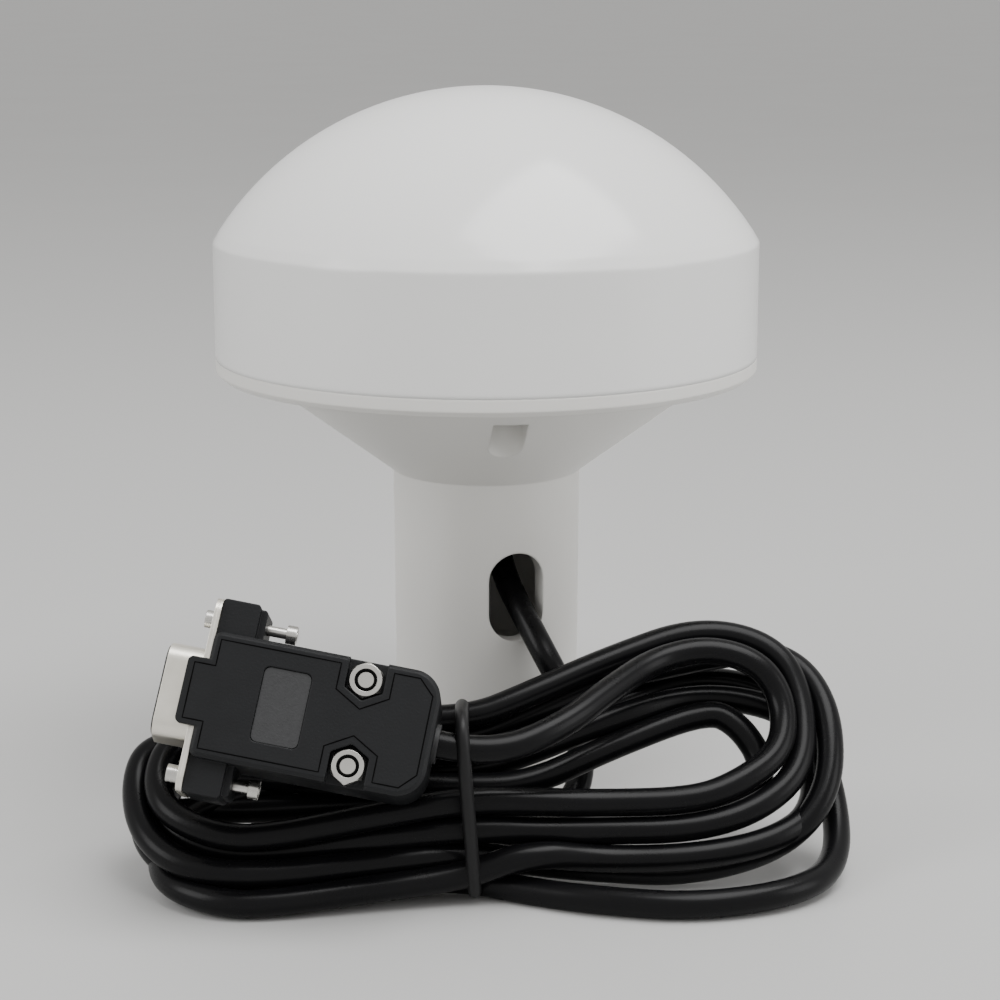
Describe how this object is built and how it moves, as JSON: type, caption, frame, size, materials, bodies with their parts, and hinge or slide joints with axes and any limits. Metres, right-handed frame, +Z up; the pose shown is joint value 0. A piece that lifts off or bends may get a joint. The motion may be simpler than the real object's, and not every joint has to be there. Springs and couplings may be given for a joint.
{
  "type": "gnss receiver",
  "caption": "Small domed marine positioning receiver on a conical neck and threaded stem, with a tied hank of data cable ending in a captive-screw D connector.",
  "frame": {"origin": "centre of the stem foot, on the plane the stem stands on", "axes": "+Z up along the stem to the top of the dome, -Y to the side where the hank and the connector lie"},
  "size_m": [0.1212, 0.1231, 0.126],
  "materials": {
    "cover_white": "glossy moulded plastic",
    "base_white": "satin moulded plastic",
    "seal_black": "matte",
    "steel": "bright nickel plated",
    "board_green": "solder resist",
    "ceramic": "fired ceramic",
    "silver": "silver film",
    "can_tin": "tinned sheet",
    "chip_black": "moulded epoxy",
    "header_cream": "nylon",
    "wire_red": "satin",
    "wire_black": "satin",
    "wire_green": "satin",
    "wire_white": "satin",
    "cable_black": "satin cable sheath",
    "tie_rubber": "matte",
    "hood_grey": "fine grained charcoal plastic",
    "label_grey": "rough blank panel",
    "shell_tin": "tin plated pressing",
    "gold": "gold flash"
  },
  "bodies": {
    "receiver": {"radome": "cover_white", "base_shell": "base_white", "head_seal": "seal_black", "head_screws": "steel", "circuit_board": "board_green", "board_screws": "steel", "patch_ceramic": "ceramic", "patch_face": "silver", "feed_pin": "gold", "shield_can": "can_tin", "positioning_module": "can_tin", "line_driver": "chip_black", "backup_cell": "steel", "capacitors": "can_tin", "choke_block": "chip_black", "cable_header": "header_cream", "wire_housing": "header_cream", "wire_red": "wire_red", "wire_black": "wire_black", "wire_green": "wire_green", "wire_white": "wire_white", "cable_gland": "seal_black", "gland_nut": "hood_grey", "cable_lead": "cable_black", "cable_hank": "cable_black", "cable_plug_run": "cable_black", "hank_tie": "tie_rubber", "hood_front": "hood_grey", "hood_rear": "hood_grey", "hood_screws": "steel", "hood_nuts": "steel", "label_panel": "label_grey", "shell_front": "shell_tin", "shell_back": "shell_tin", "insulator": "chip_black", "contacts": "gold", "cable_grommet": "seal_black", "cable_tail": "cable_black", "clamp_saddle": "steel", "plug_wire_red": "wire_red", "plug_wire_black": "wire_black", "plug_wire_green": "wire_green"},
    "upper_ring": {"jack_upper_ring": "steel"},
    "upper_screw": {"jack_upper": "steel"},
    "lower_ring": {"jack_lower_ring": "steel"},
    "lower_screw": {"jack_lower": "steel"}
  },
  "joints": [
    {"name": "upper_screw_float", "type": "slide", "parent": "receiver", "child": "upper_ring", "axis": [0.9806, -0.0859, -0.1761], "range_m": [-0.0024, 0.002]},
    {"name": "upper_screw_turn", "type": "hinge", "parent": "upper_ring", "child": "upper_screw", "pos_m": [-0.03323, -0.0569, 0.04353], "axis": [0.9806, -0.0859, -0.1761], "continuous": true},
    {"name": "lower_screw_float", "type": "slide", "parent": "receiver", "child": "lower_ring", "axis": [0.9806, -0.0859, -0.1761], "range_m": [-0.0018, 0.0025]},
    {"name": "lower_screw_turn", "type": "hinge", "parent": "lower_ring", "child": "lower_screw", "pos_m": [-0.03812, -0.06765, 0.0215], "axis": [0.9806, -0.0859, -0.1761], "continuous": true}
  ]
}
